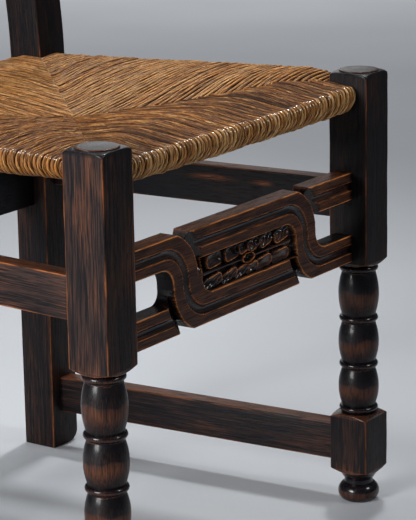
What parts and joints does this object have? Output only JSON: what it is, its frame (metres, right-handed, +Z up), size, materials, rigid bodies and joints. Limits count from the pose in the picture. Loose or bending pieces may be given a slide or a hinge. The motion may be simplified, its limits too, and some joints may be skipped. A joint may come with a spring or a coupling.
{
  "type": "rush seat chair",
  "caption": "Joined side chair of dark stained oak with turned front legs, a carved interlaced front rail, raked back posts and a woven rush seat.",
  "frame": {"origin": "on the floor, under the middle of the chair's bounding box", "axes": "+Z up, -Y towards the front of the seat, X across the seat"},
  "size_m": [0.493, 0.4956, 0.955],
  "materials": {
    "stained_oak": "satin wax over dark stain",
    "raw_oak": "unfinished",
    "rush": "natural twisted rush"
  },
  "bodies": {
    "root": {"front_leg_left": "stained_oak", "front_leg_right": "stained_oak", "back_post_left": "stained_oak", "back_post_right": "stained_oak", "carved_front_rail": "stained_oak", "crest_rail": "stained_oak", "lower_back_rail": "stained_oak", "side_rail_left": "stained_oak", "side_rail_right": "stained_oak", "back_under_rail": "stained_oak", "low_stretcher_left": "stained_oak", "low_stretcher_right": "stained_oak", "seat_rail_front": "raw_oak", "seat_rail_back": "raw_oak", "seat_rail_left": "raw_oak", "seat_rail_right": "raw_oak", "rush_seat": "rush", "rush_padding_front": "rush", "rush_padding_back": "rush", "rush_padding_left": "rush", "rush_padding_right": "rush"}
  },
  "joints": []
}
